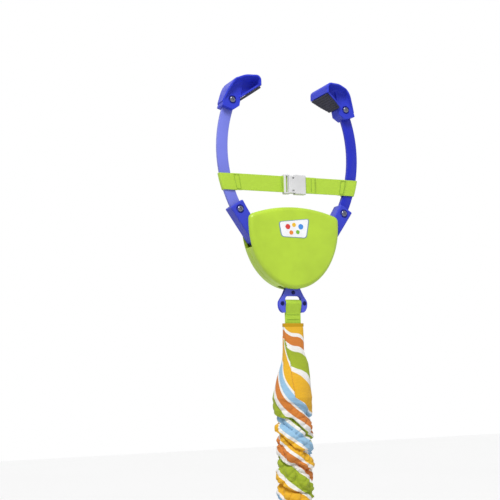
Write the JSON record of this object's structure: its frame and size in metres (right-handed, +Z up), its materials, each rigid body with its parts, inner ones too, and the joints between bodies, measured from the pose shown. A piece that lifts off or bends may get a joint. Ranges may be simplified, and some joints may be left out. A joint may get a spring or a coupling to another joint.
{
  "type": "baby doorway jumper",
  "caption": "Doorway jumper: spring clamp with curved arms and grip hoods, safety strap, sleeved extension spring, and a fabric bucket seat in a round ring below.",
  "frame": {"origin": "midway between the two grips, level with the wall-side corners of their rubber pads", "axes": "+Z up, X through the wall with the front arm at -X, Y along the wall; the pictured side faces -Y"},
  "size_m": [0.3206, 0.2906, 1.5346],
  "materials": {
    "lime_shell": "satin moulded plastic",
    "blue_lever": "satin moulded plastic",
    "blue_hood": "satin moulded plastic",
    "blue_hanger": "satin moulded plastic",
    "front_arm_paint": "satin powder coat",
    "rear_arm_paint": "satin powder coat",
    "grip_rubber": "matt rubber",
    "green_webbing": "woven webbing",
    "buckle_grey": "moulded plastic",
    "screw_steel": "zinc plated",
    "dark_steel": "black oxide",
    "inner_steel": "plain",
    "striped_cotton": "printed cotton, diagonal stripes",
    "seat_cloth": "padded cotton",
    "blue_seat_plastic": "satin moulded plastic"
  },
  "bodies": {
    "housing": {"front_cover": "lime_shell", "rear_cover": "lime_shell", "cover_screw_upper_front": "screw_steel", "cover_screw_upper_rear": "screw_steel", "cover_screw_lower_front": "screw_steel", "cover_screw_lower_rear": "screw_steel", "front_lever_pin": "inner_steel", "rear_lever_pin": "inner_steel", "clamp_spring": "inner_steel"},
    "front_arm": {"front_lever": "blue_lever", "front_arm_bar": "front_arm_paint", "front_grip_hood": "blue_hood", "front_grip_pad": "grip_rubber", "front_strap_loop": "green_webbing", "front_arm_bolt": "screw_steel", "front_grip_screw": "screw_steel"},
    "rear_arm": {"rear_lever": "blue_lever", "rear_arm_bar": "rear_arm_paint", "rear_grip_hood": "blue_hood", "rear_grip_pad": "grip_rubber", "rear_strap_loop": "green_webbing", "rear_arm_bolt": "screw_steel", "rear_grip_screw": "screw_steel"},
    "front_strap": {"front_strap_web": "green_webbing", "buckle_plug": "buckle_grey"},
    "rear_strap": {"rear_strap_web": "green_webbing", "buckle_socket": "buckle_grey"},
    "yoke": {"yoke": "inner_steel", "yoke_pin": "inner_steel"},
    "hanger": {"hanger_front_plate": "blue_hanger", "hanger_rear_plate": "blue_hanger", "hanger_pin": "dark_steel", "hanger_crossbar": "blue_hanger", "hanger_bolt_front": "dark_steel", "hanger_bolt_rear": "dark_steel"},
    "suspension": {"upper_webbing": "green_webbing", "upper_ring": "inner_steel", "main_spring": "inner_steel", "spring_sleeve": "striped_cotton"},
    "seat": {"lower_ring": "inner_steel", "lower_webbing": "green_webbing", "strap_hub": "blue_seat_plastic", "seat_ring": "blue_seat_plastic", "seat_fabric": "seat_cloth", "seat_strap_front_left": "green_webbing", "seat_strap_front_right": "green_webbing", "seat_strap_rear_left": "green_webbing", "seat_strap_rear_right": "green_webbing"}
  },
  "joints": [
    {"name": "front_arm_open", "type": "hinge", "parent": "housing", "child": "front_arm", "pos_m": [-0.042, 0, -0.23], "axis": [0, -1, 0], "range_deg": [0, 12], "stiffness_Nm_per_rad": 12, "springref_deg": -11.46},
    {"name": "rear_arm_open", "type": "hinge", "parent": "housing", "child": "rear_arm", "pos_m": [0.042, 0, -0.23], "axis": [0, 1, 0], "range_deg": [0, 12]},
    {"name": "front_strap_level", "type": "hinge", "parent": "front_arm", "child": "front_strap", "pos_m": [-0.09645, 0, -0.1435], "axis": [0, 1, 0], "range_deg": [0, 12]},
    {"name": "rear_strap_level", "type": "hinge", "parent": "rear_arm", "child": "rear_strap", "pos_m": [0.09645, 0, -0.1435], "axis": [0, -1, 0], "range_deg": [0, 12]},
    {"name": "yoke_lift", "type": "slide", "parent": "housing", "child": "yoke", "axis": [0, 0, 1], "range_m": [0, 0.0089], "deforming": ["clamp_spring"]},
    {"name": "hanger_swing", "type": "hinge", "parent": "yoke", "child": "hanger", "pos_m": [0, 0, -0.3111], "axis": [0, 1, 0], "range_deg": [-15, 15]},
    {"name": "suspension_swing", "type": "hinge", "parent": "hanger", "child": "suspension", "pos_m": [0, 0, -0.3274], "axis": [1, 0, 0], "range_deg": [-25, 25]},
    {"name": "seat_bounce", "type": "slide", "parent": "suspension", "child": "seat", "axis": [0, 0, -1], "range_m": [0, 0.12], "stiffness_N_per_m": 500, "springref_m": -0.08, "deforming": ["main_spring", "spring_sleeve"]}
  ],
  "couplings": [
    {"joint": "rear_arm_open", "follows": "front_arm_open", "ratio": 1},
    {"joint": "front_strap_level", "follows": "front_arm_open", "ratio": 1},
    {"joint": "rear_strap_level", "follows": "front_arm_open", "ratio": 1},
    {"joint": "yoke_lift", "follows": "front_arm_open", "m_per_rad": 0.042154}
  ]
}
